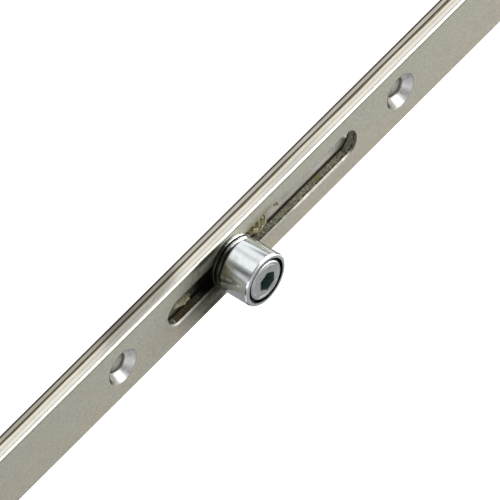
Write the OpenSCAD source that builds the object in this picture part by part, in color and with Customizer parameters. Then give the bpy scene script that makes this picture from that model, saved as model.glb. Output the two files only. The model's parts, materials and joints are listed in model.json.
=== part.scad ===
// Roller point of a multipoint door lock: a faceplate, the drive rail that slides behind it,
// and an eccentric roller cam that stands on the rail and runs in the faceplate's long slot.
// The strip lies on its back. X runs along it, Y across it, and the roller stands up along +Z.
// All lengths are in millimetres and all angles in degrees.

/* [Faceplate] */
// Length of the faceplate
plate_l = 210; // [170:1:320]
// Width of the faceplate
plate_w = 16; // [15:0.5:24]
// Thickness of the faceplate
plate_t = 2.2; // [1.8:0.1:3.5]
// Radius of the two long front edges
plate_edge_r = 0.42; // [0.1:0.02:1]
// Radius of the two long back edges
plate_back_r = 0.14; // [0.04:0.02:0.4]
// Length of the cam slot, tip to tip
slot_l = 55.5; // [52:0.5:62]
// Gap on each side of the stud in the cam slot
slot_side_gap = 0.25; // [0.15:0.05:0.5]
// Edge break round the front of the cam slot
slot_break = 0.33; // [0.05:0.01:0.5]

/* [Screw points] */
// Distance between the two screw holes
screw_spacing = 82.6; // [81:0.2:96]
// Hole that the screw's shank passes
screw_hole_d = 4.3; // [3.5:0.1:4.5]
// Countersink at the front face, with a 90 degree cone
screw_head_d = 7.8; // [6:0.1:8]
// Wall of the guide bushes behind the screw holes
bush_wall = 0.6; // [0.4:0.1:0.9]
// Width of the keeper discs' rims, from the bush outwards
keeper_rim = 2.05; // [1.4:0.05:2.2]
// Thickness of the keeper discs
keeper_t = 0.9; // [0.6:0.1:1.5]
// Width of the glide washers' rims, from the bush outwards
glide_rim = 1.55; // [1:0.05:2]
// Thickness of the glide washers
glide_t = 0.3; // [0.2:0.05:0.6]

/* [Drive rail] */
// Length of the drive rail
rail_length = 180; // [140:1:280]
// How far each long edge of the rail stands back from the faceplate's edge
rail_set_back = 0.75; // [0.3:0.05:1.5]
// Thickness of the drive rail
rail_t = 1.65; // [1.5:0.05:3]
// Radius of the long edges of the rail
rail_edge_r = 0.2; // [0.05:0.05:0.4]
// How far the rail slides from its middle place, each way
stroke = 11.5; // [5:0.5:12]
// Gap between the faceplate and the rail
rail_gap = 0.2; // [0.1:0.05:0.5]
// Gap between the rail and the glide washers
glide_gap = 0.1; // [0.05:0.05:0.3]
// Gap beside the guide bushes in the rail's slots
guide_side_gap = 0.2; // [0.1:0.05:0.4]
// Gap left at the ends of the rail's slots when the rail is at a limit
guide_end_gap = 0.35; // [0.2:0.05:1]

/* [Cam stud] */
// Where the cam turns, measured from the middle of the slot
pivot_x = 9.3; // [-10:0.1:11]
// Diameter of the stud where it passes the slot and the rail
shank_d = 5.5; // [5:0.1:5.6]
// Least wall of the journal round the shank's outline, on the side away from the roller's axis
journal_wall = 0.12; // [0.05:0.01:0.4]
// Distance from the pivot to the middle of the roller
ecc_offset = 0.63; // [0.3:0.01:0.65]
// Direction of the roller's middle seen from the pivot
ecc_angle = -60; // [-180:5:180]
// Width of the ring gap round the stud's head
head_gap = 0.475; // [0.2:0.025:0.6]
// Thickness of the stud's head
head_t = 1.6; // [1.2:0.1:2.4]
// Chamfer round the head
head_chamfer = 0.3; // [0.1:0.05:0.5]
// How far in from the head's edge a fine groove is turned
head_groove_in = 0.825; // [0.6:0.025:1]
// Width and depth of that groove
head_groove_w = 0.16; // [0.08:0.02:0.24]
// Hex socket, across its flats
hex_af = 4; // [3:0.5:4]
// Depth of the hex socket
hex_depth = 4.5; // [3:0.5:6]
// Direction of one corner of the hex socket
hex_angle = 21; // [0:1:60]
// Running clearance on the radius of the stud in the rail and in the roller
run_fit = 0.05; // [0.02:0.01:0.1]

/* [Roller] */
// Outer diameter of the roller
roller_d = 11.6; // [11:0.1:12.6]
// Height of the roller's end above the faceplate
roller_top = 9.1; // [7:0.1:14]
// Chamfer at both ends of the roller
roller_chamfer = 0.35; // [0.1:0.05:0.6]
// Wall of the roller round the recess that the stud's head sits in
roller_wall = 0.95; // [0.6:0.05:1.2]
// Wall of the plastic liner in the roller
liner_wall = 0.65; // [0.4:0.05:0.9]
// How far the liner's foot, the dark line under the roller, stands back from the roller's side
liner_foot_in = 0.55; // [0.4:0.05:1]
// Thickness of the liner's foot
liner_foot_t = 0.17; // [0.1:0.01:0.4]
// End play of the roller between the thrust collar and the stud's head
end_play = 0.12; // [0.05:0.01:0.3]

/* [Cam base] */
// Gap between the faceplate and the base disc
base_gap = 0.1; // [0.05:0.05:0.4]
// How far the base disc stands back from the roller's side
base_in = 0.1; // [0:0.05:0.5]
// Thickness of the base disc
base_t = 0.65; // [0.4:0.05:1.2]
// How far the dark wear ring stands back from the roller's side
wear_in = 0.65; // [0.4:0.05:1]
// Thickness of the wear ring
wear_t = 0.25; // [0.15:0.05:0.5]
// How far the thrust collar stands back from the roller's side
collar_in = 0.2; // [0:0.05:0.5]
// Thickness of the thrust collar
collar_t = 0.8; // [0.4:0.05:1.5]

/* [Back of the cam] */
// How far the back washer reaches past the counterbore that it closes
back_overlap = 0.2; // [0.1:0.05:0.5]
// Thickness of the back washer
back_washer_t = 0.5; // [0.3:0.05:0.8]
// Gap between the back washer and the rail
back_gap = 0.05; // [0.03:0.01:0.15]
// Width of the clench ring's rim, from the stud outwards
clench_rim = 0.95; // [0.6:0.05:1.2]
// Thickness of the clench ring
clench_t = 0.5; // [0.3:0.05:0.55]
// Depth of the counterbore in the rail for the wave spring
spring_seat_depth = 0.6; // [0.45:0.05:0.9]
// Width of the wave spring's ring
spring_rim = 1.1; // [0.8:0.05:1.4]
// Gap inside and outside that ring
spring_side_gap = 0.12; // [0.08:0.02:0.2]
// Thickness of the wave spring's sheet
spring_t = 0.22; // [0.15:0.01:0.28]
// Number of waves round the spring
spring_waves = 3; // [2:1:5]

/* [Hidden] */
$fn = 96;

// A cut reaches this far past the face that it opens
past = 0.5;
// The wave spring stays this far off the two faces that it presses on
spring_clear = 0.03;
// Edge break on the small turned discs and washers
disc_break = 0.12;

// Heights, from the keeper discs at the back up to the roller's end
glide_z = keeper_t;
rail_z = glide_z + glide_t + glide_gap;
rail_front_z = rail_z + rail_t;
plate_z = rail_front_z + rail_gap;
face_z = plate_z + plate_t;
base_z = face_z + base_gap;
wear_z = base_z + base_t;
collar_z = wear_z + wear_t;
liner_z = collar_z + collar_t + end_play / 2;
sleeve_z = liner_z + liner_foot_t;
top_z = face_z + roller_top;
head_z = top_z - head_t;
recess_z = head_z - end_play / 2;
back_washer_z = rail_z - back_gap - back_washer_t;
clench_z = back_washer_z - clench_t;
spring_seat_z = rail_z + spring_seat_depth;

// Diameters and widths that follow from what a piece fits on or in
slot_w = shank_d + 2 * slot_side_gap;
bush_d = screw_hole_d + 2 * bush_wall;
keeper_d = bush_d + 2 * keeper_rim;
glide_d = bush_d + 2 * glide_rim;
rail_w = plate_w - 2 * rail_set_back;
journal_d = shank_d + 2 * (ecc_offset + journal_wall);
journal_bore_d = journal_d + 2 * run_fit;
recess_d = roller_d - 2 * roller_wall;
head_d = recess_d - 2 * head_gap;
head_groove_r = head_d / 2 - head_groove_in;
liner_d = journal_bore_d + 2 * liner_wall;
liner_foot_d = roller_d - 2 * liner_foot_in;
base_d = roller_d - 2 * base_in;
wear_d = roller_d - 2 * wear_in;
collar_d = roller_d - 2 * collar_in;
spring_inner_r = shank_d / 2 + spring_side_gap;
spring_outer_r = spring_inner_r + spring_rim;
spring_seat_d = 2 * (spring_outer_r + spring_side_gap);
back_washer_d = spring_seat_d + 2 * back_overlap;
clench_d = shank_d + 2 * clench_rim;

// Places along the strip
upper_x = -screw_spacing / 2;
lower_x = screw_spacing / 2;
guide_slot_w = bush_d + 2 * guide_side_gap;
guide_slot_l = 2 * stroke + bush_d + 2 * guide_end_gap;

// The screw's countersink is a 90 degree cone
screw_cone_depth = (screw_head_d - screw_hole_d) / 2;

// Moves its children onto the pivot of the cam
module at_pivot() {
    translate([pivot_x, 0, 0]) children();
}

// Moves its children onto the axis of the roller, beside the pivot
module at_roller() {
    at_pivot() rotate([0, 0, ecc_angle]) translate([ecc_offset, 0, 0]) rotate([0, 0, -ecc_angle]) children();
}

// A bar along X whose section is drawn in Y and Z
module bar(length) {
    translate([-length / 2, 0, 0]) rotate([90, 0, 90]) linear_extrude(length) children();
}

// Section of a strip w wide and t thick, with its long edges rounded by front_r and back_r
module strip_section(w, t, front_r, back_r) {
    translate([-w / 2, back_r]) square([w, t - front_r - back_r]);
    translate([-w / 2 + front_r, t - front_r]) square([w - 2 * front_r, front_r]);
    translate([-w / 2 + back_r, 0]) square([w - 2 * back_r, back_r]);
    for (side = [-1, 1]) {
        translate([side * (w / 2 - front_r), t - front_r]) circle(front_r);
        translate([side * (w / 2 - back_r), back_r]) circle(back_r);
    }
}

// A slot along X with round ends, w wide and l long tip to tip, cut through a height h
module slot(l, w, h) {
    reach = (l - w) / 2;
    translate([-reach, -w / 2, 0]) cube([2 * reach, w, h]);
    for (side = [-1, 1]) {
        translate([side * reach, 0, 0]) cylinder(h = h, d = w);
    }
}

// The bevel round the mouth of such a slot, rising from z = 0 to depth b, wider by b all round
module slot_mouth(l, w, b) {
    reach = (l - w) / 2;
    over = 0.1;
    rise = b + over;
    translate([-reach, 0, 0]) rotate([90, 0, 90]) linear_extrude(2 * reach)
        polygon([[-w / 2, 0], [w / 2, 0], [w / 2 + rise, rise], [-w / 2 - rise, rise]]);
    for (side = [-1, 1]) {
        translate([side * reach, 0, 0]) cylinder(h = rise, r1 = w / 2, r2 = w / 2 + rise);
    }
}

// A turned ring between two heights, with its outer edges broken and its hole off centre by shift
module turned_ring(d, hole_d, z, t, edge = disc_break, shift = [0, 0]) {
    difference() {
        translate([0, 0, z]) rotate_extrude()
            polygon([[0, 0], [d / 2 - edge, 0], [d / 2, edge], [d / 2, t - edge], [d / 2 - edge, t], [0, t]]);
        translate([shift[0], shift[1], z - past]) cylinder(h = t + 2 * past, d = hole_d);
    }
}

module faceplate() {
    color([0.62, 0.61, 0.56]) difference() {
        translate([0, 0, plate_z]) bar(plate_l) strip_section(plate_w, plate_t, plate_edge_r, plate_back_r);
        translate([0, 0, plate_z - past]) slot(slot_l, slot_w, plate_t + 2 * past);
        translate([0, 0, face_z - slot_break]) slot_mouth(slot_l, slot_w, slot_break);
        for (x = [upper_x, lower_x]) {
            translate([x, 0, plate_z - past]) cylinder(h = plate_t + 2 * past, d = screw_hole_d);
            translate([x, 0, face_z - screw_cone_depth])
                cylinder(h = screw_cone_depth + past, r1 = screw_hole_d / 2, r2 = screw_head_d / 2 + past);
        }
    }
}

// Turned tube on the back of the faceplate that the screw passes and the rail slides along
module guide_bush(x) {
    color([0.7, 0.71, 0.7]) translate([x, 0, 0]) difference() {
        cylinder(h = plate_z, d = bush_d);
        translate([0, 0, -past]) cylinder(h = plate_z + 2 * past, d = screw_hole_d);
    }
}

module guide_bush_upper() { guide_bush(upper_x); }
module guide_bush_lower() { guide_bush(lower_x); }

// Thin plastic washer on the keeper disc that the back of the rail glides on
module glide_washer(x) {
    color([0.12, 0.12, 0.13]) translate([x, 0, 0]) turned_ring(glide_d, bush_d, glide_z, glide_t, glide_t / 5);
}

module glide_washer_upper() { glide_washer(upper_x); }
module glide_washer_lower() { glide_washer(lower_x); }

// Disc pressed on the end of a guide bush, which keeps the rail on the faceplate
module keeper_disc(x) {
    color([0.7, 0.71, 0.7]) translate([x, 0, 0]) turned_ring(keeper_d, bush_d, 0, keeper_t);
}

module keeper_disc_upper() { keeper_disc(upper_x); }
module keeper_disc_lower() { keeper_disc(lower_x); }

module drive_rail() {
    color([0.55, 0.53, 0.48]) difference() {
        translate([0, 0, rail_z]) bar(rail_length) strip_section(rail_w, rail_t, rail_edge_r, rail_edge_r);
        for (x = [upper_x, lower_x]) {
            translate([x, 0, rail_z - past]) slot(guide_slot_l, guide_slot_w, rail_t + 2 * past);
        }
        at_pivot() {
            translate([0, 0, rail_z - past]) cylinder(h = rail_t + 2 * past, r = shank_d / 2 + run_fit);
            translate([0, 0, rail_z - past]) cylinder(h = spring_seat_depth + past, d = spring_seat_d);
        }
    }
}

// Spring washer bent into waves, which keeps the cam at the place it was turned to
module friction_spring() {
    steps = 24 * spring_waves;
    low = back_washer_z + back_washer_t + spring_clear;
    high = spring_seat_z - spring_clear - spring_t;
    mid = (low + high) / 2;
    swing = (high - low) / 2;
    function wave(i) = mid + swing * cos(spring_waves * 360 * i / steps);
    points = [
        for (i = [0 : steps - 1], corner = [[spring_inner_r, 0], [spring_outer_r, 0], [spring_outer_r, spring_t], [spring_inner_r, spring_t]])
            let (a = 360 * i / steps)
            [corner[0] * cos(a), corner[0] * sin(a), wave(i) + corner[1]]
    ];
    faces = [
        for (i = [0 : steps - 1], k = [0 : 3])
            let (j = (i + 1) % steps, m = (k + 1) % 4)
            [4 * i + k, 4 * i + m, 4 * j + m, 4 * j + k]
    ];
    color([0.45, 0.46, 0.47]) at_pivot() polyhedron(points, faces, convexity = 6);
}

// One turned stud: a shank on the pivot, and beside it the journal and head on the roller's axis
module eccentric_stud() {
    color([0.66, 0.69, 0.69]) difference() {
        union() {
            at_pivot() translate([0, 0, clench_z]) cylinder(h = head_z - clench_z, d = shank_d);
            at_roller() {
                translate([0, 0, wear_z]) cylinder(h = head_z - wear_z, d = journal_d);
                translate([0, 0, head_z]) rotate_extrude()
                    polygon([[0, 0], [head_d / 2, 0], [head_d / 2, head_t - head_chamfer],
                             [head_d / 2 - head_chamfer, head_t], [0, head_t]]);
            }
        }
        at_pivot() translate([0, 0, top_z - hex_depth]) rotate([0, 0, hex_angle])
            cylinder(h = hex_depth + past, r = hex_af / 2 / cos(30), $fn = 6);
        at_roller() translate([0, 0, top_z]) rotate_extrude() translate([head_groove_r, 0])
            polygon([[-head_groove_w / 2, past], [-head_groove_w / 2, 0], [0, -head_groove_w],
                     [head_groove_w / 2, 0], [head_groove_w / 2, past]]);
    }
}

// Disc pressed on the shank under the roller, which covers the slot round the stud
module base_disc() {
    back = [-ecc_offset * cos(ecc_angle), -ecc_offset * sin(ecc_angle)];
    color([0.72, 0.73, 0.7]) at_roller() turned_ring(base_d, shank_d, base_z, base_t, disc_break, back);
}

module wear_ring() {
    color([0.08, 0.08, 0.08]) at_roller()
        turned_ring(wear_d, journal_bore_d, wear_z, wear_t, wear_t / 5);
}

module thrust_collar() {
    color([0.75, 0.77, 0.77]) at_roller()
        turned_ring(collar_d, journal_bore_d, collar_z, collar_t, 2 * disc_break);
}

module back_washer() {
    color([0.7, 0.71, 0.7]) at_pivot() turned_ring(back_washer_d, shank_d, back_washer_z, back_washer_t);
}

module clench_ring() {
    color([0.66, 0.67, 0.66]) at_pivot() turned_ring(clench_d, shank_d, clench_z, clench_t, 1.5 * disc_break);
}

module roller_sleeve() {
    r = roller_d / 2;
    h = top_z - sleeve_z;
    c = roller_chamfer;
    color([0.7, 0.74, 0.76]) at_roller() translate([0, 0, sleeve_z]) rotate_extrude()
        polygon([[liner_d / 2, 0], [r - c, 0], [r, c], [r, h - c], [r - c, h],
                 [recess_d / 2, h], [recess_d / 2, recess_z - sleeve_z], [liner_d / 2, recess_z - sleeve_z]]);
}

// Plastic bush pressed in the roller, with a thin foot that stands on the thrust collar
module roller_liner() {
    inner_r = journal_bore_d / 2;
    color([0.07, 0.07, 0.08]) at_roller() translate([0, 0, liner_z]) rotate_extrude()
        polygon([[inner_r, 0], [liner_foot_d / 2, 0], [liner_foot_d / 2, liner_foot_t],
                 [liner_d / 2, liner_foot_t], [liner_d / 2, recess_z - liner_z], [inner_r, recess_z - liner_z]]);
}

faceplate();
guide_bush_upper();
guide_bush_lower();
glide_washer_upper();
glide_washer_lower();
keeper_disc_upper();
keeper_disc_lower();
drive_rail();
friction_spring();
eccentric_stud();
base_disc();
wear_ring();
thrust_collar();
back_washer();
clench_ring();
roller_sleeve();
roller_liner();
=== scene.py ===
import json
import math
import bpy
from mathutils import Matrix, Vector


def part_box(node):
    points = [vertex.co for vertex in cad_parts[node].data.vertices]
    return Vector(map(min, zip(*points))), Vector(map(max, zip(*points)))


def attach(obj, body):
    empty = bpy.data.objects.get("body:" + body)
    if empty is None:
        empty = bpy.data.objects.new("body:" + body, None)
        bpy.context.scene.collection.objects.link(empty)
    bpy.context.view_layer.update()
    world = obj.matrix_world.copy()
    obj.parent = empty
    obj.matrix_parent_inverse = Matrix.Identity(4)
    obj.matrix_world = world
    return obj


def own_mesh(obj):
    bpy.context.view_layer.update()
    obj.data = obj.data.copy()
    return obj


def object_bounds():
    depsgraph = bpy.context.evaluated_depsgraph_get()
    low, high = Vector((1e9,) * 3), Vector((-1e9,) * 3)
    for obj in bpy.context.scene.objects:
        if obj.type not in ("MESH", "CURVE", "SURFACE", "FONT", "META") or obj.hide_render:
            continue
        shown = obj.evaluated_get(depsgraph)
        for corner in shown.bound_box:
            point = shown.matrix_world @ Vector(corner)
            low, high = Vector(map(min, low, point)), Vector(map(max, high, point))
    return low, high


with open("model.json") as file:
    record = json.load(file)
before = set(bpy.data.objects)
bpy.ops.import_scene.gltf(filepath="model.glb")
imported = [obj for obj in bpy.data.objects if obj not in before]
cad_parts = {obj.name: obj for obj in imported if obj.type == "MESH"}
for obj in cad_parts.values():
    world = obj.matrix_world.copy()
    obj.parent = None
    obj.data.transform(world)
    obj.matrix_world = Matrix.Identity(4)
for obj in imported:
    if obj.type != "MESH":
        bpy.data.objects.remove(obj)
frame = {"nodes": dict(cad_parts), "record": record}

# Looks of the roller point of a multipoint door lock: steel, zinc, plastic, grease and a soft light.
# Lengths in the dictionaries are in millimetres, and mm turns them into the frame's metres.
# A coat there is (amount, colour), and four values in a row say where a stretch fades in and out.

from types import SimpleNamespace

import bpy
import numpy as np
from mathutils import Matrix, Vector

mm = 0.001
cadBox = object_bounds()
nodes = frame["nodes"]
record = frame["record"]


# Sizes of the part that the looks share, read from the frame in millimetres

def readPartSizes():
    plateLow, plateHigh = (Vector(corner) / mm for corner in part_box("faceplate"))
    axes = {joint["name"]: joint.get("pos_m") for joint in record["behaviour"]["joints"]}
    screws = next(mount["dims"] for mount in record["mounts"] if mount["name"] == "screw_points")
    return SimpleNamespace(
        halfWidth=plateHigh.y,
        backZ=plateLow.z,
        faceZ=plateHigh.z,
        railHalfWidth=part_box("drive_rail")[1][1] / mm,
        topZ=cadBox[1][2] / mm,
        pivotX=axes["cam_adjust"][0] / mm,
        rollerX=axes["roller_spin"][0] / mm,
        rollerY=axes["roller_spin"][1] / mm,
        screwX=screws["spacing_x_mm"] / 2,
        holeRadius=screws["hole_r_mm"],
    )


part = readPartSizes()
print("part sizes read: plate", round(part.halfWidth * 2, 2), "wide, top at", round(part.topZ, 2))


# Camera

cameraSettings = {
    "aim": (3.936, 2.694, 5.146),         # the point in the middle of the picture
    "towardCamera": (0.42477, -0.77614, 0.46602),
    "pictureUp": (-0.63811, -0.62184, -0.45401),
    "distance": 3400.0,
    "viewWidth": 95.52,                   # seen across the picture at that distance
    "sensorWidth": 36.0,
    "clip": (50.0, 50000.0),
}


def addObject(name, data):
    made = bpy.data.objects.new(name, data)
    bpy.context.scene.collection.objects.link(made)
    return made


def lookingBack(direction, up, distance, aim=(0, 0, 0)):
    # Stands off from the aim in that direction and looks back at it, with its own Y near up
    back = Vector(direction).normalized()
    up = (Vector(up) - back * back.dot(Vector(up))).normalized()
    turned = Matrix((up.cross(back), up, back)).transposed()
    return Matrix.LocRotScale((Vector(aim) + back * distance) * mm, turned.to_quaternion(), None)


def makeCamera(s):
    data = bpy.data.cameras.new("stripCamera")
    data.type = "PERSP"
    data.sensor_width = s["sensorWidth"]
    data.lens = s["sensorWidth"] * s["distance"] / s["viewWidth"]
    data.clip_start, data.clip_end = (limit * mm for limit in s["clip"])
    camera = addObject("stripCamera", data)
    camera.matrix_world = lookingBack(s["towardCamera"], s["pictureUp"], s["distance"], s["aim"])
    bpy.context.scene.camera = camera


makeCamera(cameraSettings)
print("camera placed")


# A value is a node's output that can be summed: each sum adds a Math node to the same tree

class Value:
    def __init__(self, socket):
        self.socket = socket
        self.tree = socket.id_data

    def __add__(self, other):
        return calc("ADD", self, other)

    def __sub__(self, other):
        return calc("SUBTRACT", self, other)

    def __rsub__(self, other):
        return calc("SUBTRACT", other, self)

    def __mul__(self, other):
        return calc("MULTIPLY", self, other)

    def __abs__(self):
        return calc("ABSOLUTE", self)

    __radd__ = __add__
    __rmul__ = __mul__


# Small helpers for node trees: an entry that is a value gets linked, any other is set

def addNode(tree, kind, options=None, sockets=None):
    made = tree.nodes.new(kind)
    for name, value in (options or {}).items():
        setattr(made, name, value)
    for name, value in (sockets or {}).items():
        if isinstance(value, Value):
            tree.links.new(value.socket, made.inputs[name])
        else:
            made.inputs[name].default_value = value
    return made


def output(tree, kind, options=None, sockets=None, which=0):
    return Value(addNode(tree, kind, options, sockets).outputs[which])


def send(node, **values):
    # Links values to a node's inputs, where an underscore in a name stands for a space
    for name, value in values.items():
        node.id_data.links.new(value.socket, node.inputs[name.replace("_", " ")])


def calc(operation, a, b=0.0, clamp=False):
    tree = (a if isinstance(a, Value) else b).tree
    return output(tree, "ShaderNodeMath", {"operation": operation, "use_clamp": clamp}, {0: a, 1: b})


def larger(a, b):
    return calc("MAXIMUM", a, b)


def mapRange(value, fromLow, fromHigh, toLow=0.0, toHigh=1.0, kind="SMOOTHSTEP"):
    return output(value.tree, "ShaderNodeMapRange", {"interpolation_type": kind},
                  {0: value, 1: fromLow, 2: fromHigh, 3: toLow, 4: toHigh})


def linear(value, fromLow, fromHigh, toLow=0.0, toHigh=1.0):
    return mapRange(value, fromLow, fromHigh, toLow, toHigh, "LINEAR")


def rising(value, low, high):
    return mapRange(value, low, high)


def falling(value, low, high):
    return mapRange(value, low, high, 1.0, 0.0)


def between(value, riseLow, riseHigh, fallLow, fallHigh):
    return rising(value, riseLow, riseHigh) * falling(value, fallLow, fallHigh)


def mixColour(amount, a, b, blend="MIX"):
    # Inputs 6 and 7 and output 2 are the Mix node's colours
    colours = [value if isinstance(value, Value) else (*value, 1.0) for value in (a, b)]
    return output(amount.tree, "ShaderNodeMix", {"data_type": "RGBA", "blend_type": blend},
                  {0: amount, 6: colours[0], 7: colours[1]}, 2)


def paint(tone, coat, mask):
    # A coat is its strongest amount and its colour, and the mask says where it lies
    amount, colour = coat
    return mixColour(mask * amount, tone, colour)


def ramp(value, stops):
    made = addNode(value.tree, "ShaderNodeValToRGB", None, {0: value})
    points = made.color_ramp.elements
    while len(points) < len(stops):
        points.new(0.5)
    for point, (place, colour) in zip(points, stops):
        point.position = place
        point.color = (*colour, 1.0)
    return Value(made.outputs[0])


def greyRamp(value, levels):
    return ramp(value, [(place, (level,) * 3) for place, level in levels])


def noise(vector, scale, detail=3.0, rough=0.55, distortion=0.0):
    return output(vector.tree, "ShaderNodeTexNoise", None, {
        "Vector": vector, "Scale": scale, "Detail": detail, "Roughness": rough, "Distortion": distortion,
    })


def mapped(vector, place=(0, 0, 0), turn=(0, 0, 0), size=(1, 1, 1)):
    return output(vector.tree, "ShaderNodeMapping", None, {
        "Vector": vector, "Location": place, "Rotation": turn, "Scale": size,
    })


def split(vector):
    return [Value(made) for made in addNode(vector.tree, "ShaderNodeSeparateXYZ", None, {0: vector}).outputs]


def joined(x, y=0.0, z=0.0):
    return output(x.tree, "ShaderNodeCombineXYZ", None, {0: x, 1: y, 2: z})


def lengthOf(x, y):
    return output(x.tree, "ShaderNodeVectorMath", {"operation": "LENGTH"}, {0: joined(x, y)}, "Value")


def newGroup(name, outputs, **inputs):
    # Every group takes a Vector, a place in millimetres, and the numbers named here
    group = bpy.data.node_groups.new(name, "ShaderNodeTree")
    group.interface.new_socket("Vector", in_out="INPUT", socket_type="NodeSocketVector")
    for label, value in inputs.items():
        made = group.interface.new_socket(label, in_out="INPUT", socket_type="NodeSocketFloat")
        made.default_value = value
    for label in outputs:
        group.interface.new_socket(label, in_out="OUTPUT", socket_type="NodeSocketFloat")
    start = group.nodes.new("NodeGroupInput")
    given = SimpleNamespace(**{label: Value(start.outputs[label]) for label in ("Vector", *inputs)})
    return given, group.nodes.new("NodeGroupOutput")


def useGroup(name, vector, **inputs):
    group = bpy.data.node_groups[name]
    made = addNode(vector.tree, "ShaderNodeGroup", {"node_tree": group}, {"Vector": vector, **inputs})
    return [Value(result) for result in made.outputs]


# Shared surface effects, each a group

def makeRolledGrain():
    # Two noises drawn out along X: fine lines and broader streaks
    given, out = newGroup("rolledGrain", ("Lines", "Streaks"), Fineness=4.0)
    fine = noise(mapped(given.Vector, size=(0.06, 1, 1)), given.Fineness, detail=4.0, rough=0.65)
    broad = noise(mapped(given.Vector, size=(0.03, 0.5, 0.5)), scale=1.7, detail=2.0)
    send(out, Lines=rising(fine, 0.3, 0.7), Streaks=rising(broad, 0.3, 0.7))


def makePatches():
    # A soft noise squeezed to a mask, for stains, film and uneven tone
    given, out = newGroup("patches", ("Mask",), Scale=0.3, Low=0.4, High=0.65)
    soft = noise(given.Vector, given.Scale, detail=4.0, rough=0.6, distortion=0.4)
    send(out, Mask=rising(soft, given.Low, given.High))


def makeSpecks():
    # Small dots in scattered cells: the cell's own colour decides which cells have one
    given, out = newGroup("specks", ("Mask",), Scale=1.0, Share=0.1, Radius=0.25)
    cells = addNode(given.Vector.tree, "ShaderNodeTexVoronoi", {"feature": "F1"},
                    {"Vector": given.Vector, "Scale": given.Scale})
    dot = falling(Value(cells.outputs["Distance"]), given.Radius * 0.5, given.Radius)
    pick = output(dot.tree, "ShaderNodeSeparateColor", None, {0: Value(cells.outputs["Color"])})
    send(out, Mask=dot * calc("LESS_THAN", pick, given.Share))


def makeScratches():
    # A noise drawn out very far along X and cut off high leaves thin broken lines
    given, out = newGroup("scratches", ("Mask",), Scale=2.0, Cut=0.68)
    drawn = noise(mapped(given.Vector, size=(0.05, 2.2, 1.0)), given.Scale, detail=2.0, rough=0.5)
    send(out, Mask=rising(drawn, given.Cut, given.Cut + 0.05))


def makeOutlineDistance():
    # How far a place lies outside a round-ended outline along X:
    # length of (|x| less the straight half, y), less the radius
    given, out = newGroup("outlineDistance", ("Distance",), StraightHalf=0.0, Radius=3.0)
    x, y, z = split(given.Vector)
    past = larger(abs(x) - given.StraightHalf, 0.0)
    send(out, Distance=lengthOf(past, y) - given.Radius)


def makeTurnedMarks():
    # Lines that a lathe leaves: a noise of radius and height only, so they run round the axis
    given, out = newGroup("turnedMarks", ("Rings", "Radius"), Fineness=5.0)
    x, y, z = split(given.Vector)
    radius = lengthOf(x, y)
    lines = noise(joined(radius, z), given.Fineness, rough=0.6)
    send(out, Rings=rising(lines, 0.3, 0.7), Radius=radius)


makeRolledGrain()
makePatches()
makeSpecks()
makeScratches()
makeOutlineDistance()
makeTurnedMarks()
print("surface effects made:", len(bpy.data.node_groups))


def patches(vector, scale, low, high):
    return useGroup("patches", vector, Scale=scale, Low=low, High=high)[0]


def specks(vector, scale, share, radius):
    return useGroup("specks", vector, Scale=scale, Share=share, Radius=radius)[0]


def scratches(vector, scale, cut):
    return useGroup("scratches", vector, Scale=scale, Cut=cut)[0]


def emptyTree(owner):
    owner.use_nodes = True
    owner.node_tree.nodes.clear()
    return owner.node_tree


def placeInTree(tree):
    # A place in the frame, in millimetres
    return mapped(output(tree, "ShaderNodeTexCoord", which="Object"), size=(1 / mm,) * 3)


def startMaterial(name, **fixed):
    # A Principled shader whose constant values sit on its own sockets
    material = bpy.data.materials.new(name)
    tree = emptyTree(material)
    shader = addNode(tree, "ShaderNodeBsdfPrincipled")
    for label, value in fixed.items():
        shader.inputs[label.replace("_", " ")].default_value = value
    addNode(tree, "ShaderNodeOutputMaterial", None, {"Surface": Value(shader.outputs[0])})
    return material, shader, placeInTree(tree)


def bump(height, strength, distance, over=None):
    made = addNode(height.tree, "ShaderNodeBump", None,
                   {"Height": height, "Strength": strength, "Distance": distance * mm})
    if over is not None:
        send(made, Normal=over)
    return Value(made.outputs[0])


# Faceplate: satin rolled strip with burnished long sides and a dirty slot, with painted shade on the face,
# sides, countersinks and slot

faceplateLook = {
    "coolTone": (0.600, 0.612, 0.530),
    "warmTone": (0.640, 0.600, 0.500),
    "lines": (0.07, (0.30, 0.29, 0.24)),
    "satin": (0.60, (0.35, 0.325, 0.29)),
    "scratches": (0.18, (0.80, 0.79, 0.72)),
    "slantScratches": (0.25, (0.36, 0.34, 0.28)),
    "slant": 0.6,                         # radians
    "specks": (0.75, (0.16, 0.13, 0.09)),
    "pits": (0.30, (0.34, 0.33, 0.27)),
    "sideStopsWithGapShade": (                        # up the long sides, from the back edge to the front edge
        # the darkest stops at the back edge are painted shade of the gap behind the plate
        (0.00, (0.16, 0.13, 0.08)),
        (0.13, (0.22, 0.18, 0.12)),
        (0.21, (0.86, 0.82, 0.72)),
        (0.35, (0.84, 0.80, 0.70)),
        (0.50, (0.68, 0.63, 0.53)),
        (0.66, (0.86, 0.83, 0.74)),
        (0.90, (0.92, 0.90, 0.82)),
    ),
    "sideFilm": (0.22, (0.60, 0.56, 0.47)),
    "rollWidth": 1.15,                    # how far in from the -Y side the front edge is rolled off
    "rollDepth": 0.50,
    "rollLowZ": 4.2,
    "edgeLine": (0.55, (0.22, 0.20, 0.13)),
    "roughness": {"film": 0.05, "onWall": 0.18, "dots": 0.25, "inCone": -0.17, "darkArc": 0.30,
                  "polished": -0.35, "onRoll": -0.38},
}


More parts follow.
